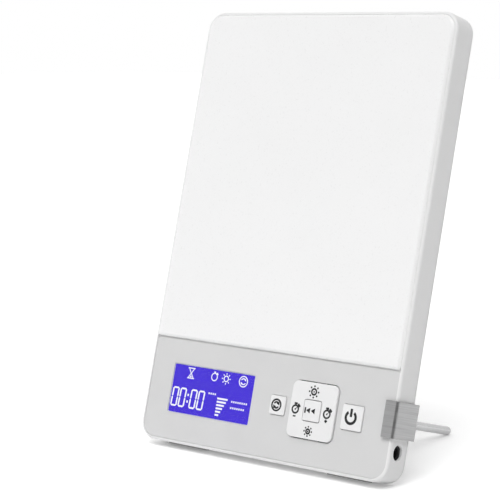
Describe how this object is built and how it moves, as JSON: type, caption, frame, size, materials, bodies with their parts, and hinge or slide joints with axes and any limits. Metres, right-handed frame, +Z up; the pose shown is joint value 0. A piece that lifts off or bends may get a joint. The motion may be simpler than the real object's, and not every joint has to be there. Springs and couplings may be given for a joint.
{
  "type": "light therapy lamp",
  "caption": "Upright tablet-shaped light panel with a control strip, blue display and keys, propped by a clip-on folding rod leg behind.",
  "frame": {"origin": "middle of the bounding box's base, on the surface that the lamp stands on with its leg out", "axes": "+Z up, +Y from the light panel's face towards the leg, +X to the right as seen from the front"},
  "size_m": [0.1694, 0.129, 0.2377],
  "materials": {
    "white_plastic": "satin white moulding",
    "grey_fascia": "satin light grey",
    "opal_plate": "milky white diffuser",
    "key_plastic": "satin off-white",
    "clear_plastic": "clear",
    "display_glass": "backlit blue",
    "milky_plastic": "milky white",
    "board_laminate": "green solder mask",
    "black_plastic": "matt black",
    "tinned_metal": "tin-plated",
    "aluminium_sheet": "mill finish",
    "led_strip": "white board with yellow LED chips",
    "brushed_steel": "brushed",
    "polished_steel": "polished",
    "zinc_steel": "zinc-plated",
    "grey_rubber": "matt"
  },
  "bodies": {
    "lamp_body": {"board_screw_1": "zinc_steel", "board_screw_2": "zinc_steel", "board_screw_3": "zinc_steel", "board_screw_4": "zinc_steel", "control_board": "board_laminate", "control_fascia": "grey_fascia", "dc_jack": "black_plastic", "dc_jack_pin": "tinned_metal", "diffuser_panel": "opal_plate", "driver_inductor": "black_plastic", "filter_capacitor_1": "aluminium_sheet", "filter_capacitor_2": "aluminium_sheet", "foot_left": "grey_rubber", "foot_right": "grey_rubber", "front_housing": "white_plastic", "housing_screw_1": "zinc_steel", "housing_screw_2": "zinc_steel", "housing_screw_3": "zinc_steel", "housing_screw_4": "zinc_steel", "lcd_backlight": "milky_plastic", "lcd_glass": "display_glass", "lcd_window": "clear_plastic", "led_lead_left": "milky_plastic", "led_lead_right": "milky_plastic", "led_strip_left": "led_strip", "led_strip_right": "led_strip", "light_guide_plate": "clear_plastic", "light_tray": "aluminium_sheet", "microcontroller": "black_plastic", "mode_switch_body": "black_plastic", "pad_left_switch_body": "black_plastic", "pad_lower_switch_body": "black_plastic", "pad_pivot_base": "milky_plastic", "pad_right_switch_body": "black_plastic", "pad_upper_switch_body": "black_plastic", "piezo_buzzer": "black_plastic", "power_switch_body": "black_plastic", "rear_cover": "white_plastic", "reflector_sheet": "milky_plastic", "reset_switch_body": "black_plastic"},
    "power_key": {"power_button": "key_plastic", "power_switch_stem": "black_plastic"},
    "mode_key": {"mode_button": "key_plastic", "mode_switch_stem": "black_plastic"},
    "reset_key": {"reset_button": "key_plastic", "reset_switch_stem": "black_plastic"},
    "rocker_ring": {"pad_rocker_ring": "milky_plastic"},
    "pad": {"four_way_pad": "key_plastic", "pad_right_switch_stem": "black_plastic", "pad_upper_switch_stem": "black_plastic", "pad_left_switch_stem": "black_plastic", "pad_lower_switch_stem": "black_plastic"},
    "clip": {"stand_clip": "brushed_steel", "clip_pad": "grey_rubber", "pivot_bracket": "zinc_steel", "bracket_rivet_1": "polished_steel", "bracket_rivet_2": "polished_steel", "leg_pivot_pin": "polished_steel"},
    "leg": {"leg_knuckle": "zinc_steel", "leg_rod": "polished_steel"}
  },
  "joints": [
    {"name": "power_key_press", "type": "slide", "parent": "lamp_body", "child": "power_key", "axis": [0, 0.9668, -0.2556], "range_m": [0, 0.0005], "stiffness_N_per_m": 400, "springref_m": -0.002},
    {"name": "mode_key_press", "type": "slide", "parent": "lamp_body", "child": "mode_key", "axis": [0, 0.9668, -0.2556], "range_m": [0, 0.0005], "stiffness_N_per_m": 400, "springref_m": -0.002},
    {"name": "reset_key_press", "type": "slide", "parent": "lamp_body", "child": "reset_key", "axis": [0, 0.9668, -0.2556], "range_m": [0, 0.0005], "stiffness_N_per_m": 400, "springref_m": -0.002},
    {"name": "pad_tilt", "type": "hinge", "parent": "lamp_body", "child": "rocker_ring", "pos_m": [0.03185, -0.05267, 0.03178], "axis": [1, 0, 0], "range_deg": [-2.5, 2.5], "stiffness_Nm_per_rad": 0.1},
    {"name": "pad_sway", "type": "hinge", "parent": "rocker_ring", "child": "pad", "pos_m": [0.03185, -0.05267, 0.03178], "axis": [0, 0.2556, 0.9668], "range_deg": [-2.5, 2.5], "stiffness_Nm_per_rad": 0.1},
    {"name": "clip_slide", "type": "slide", "parent": "lamp_body", "child": "clip", "axis": [0, 0.2556, 0.9668], "range_m": [0, 0.014]},
    {"name": "leg_fold", "type": "hinge", "parent": "clip", "child": "leg", "pos_m": [0.03525, -0.03424, 0.02794], "axis": [0, 0.2556, 0.9668], "range_deg": [0, 90]}
  ]
}
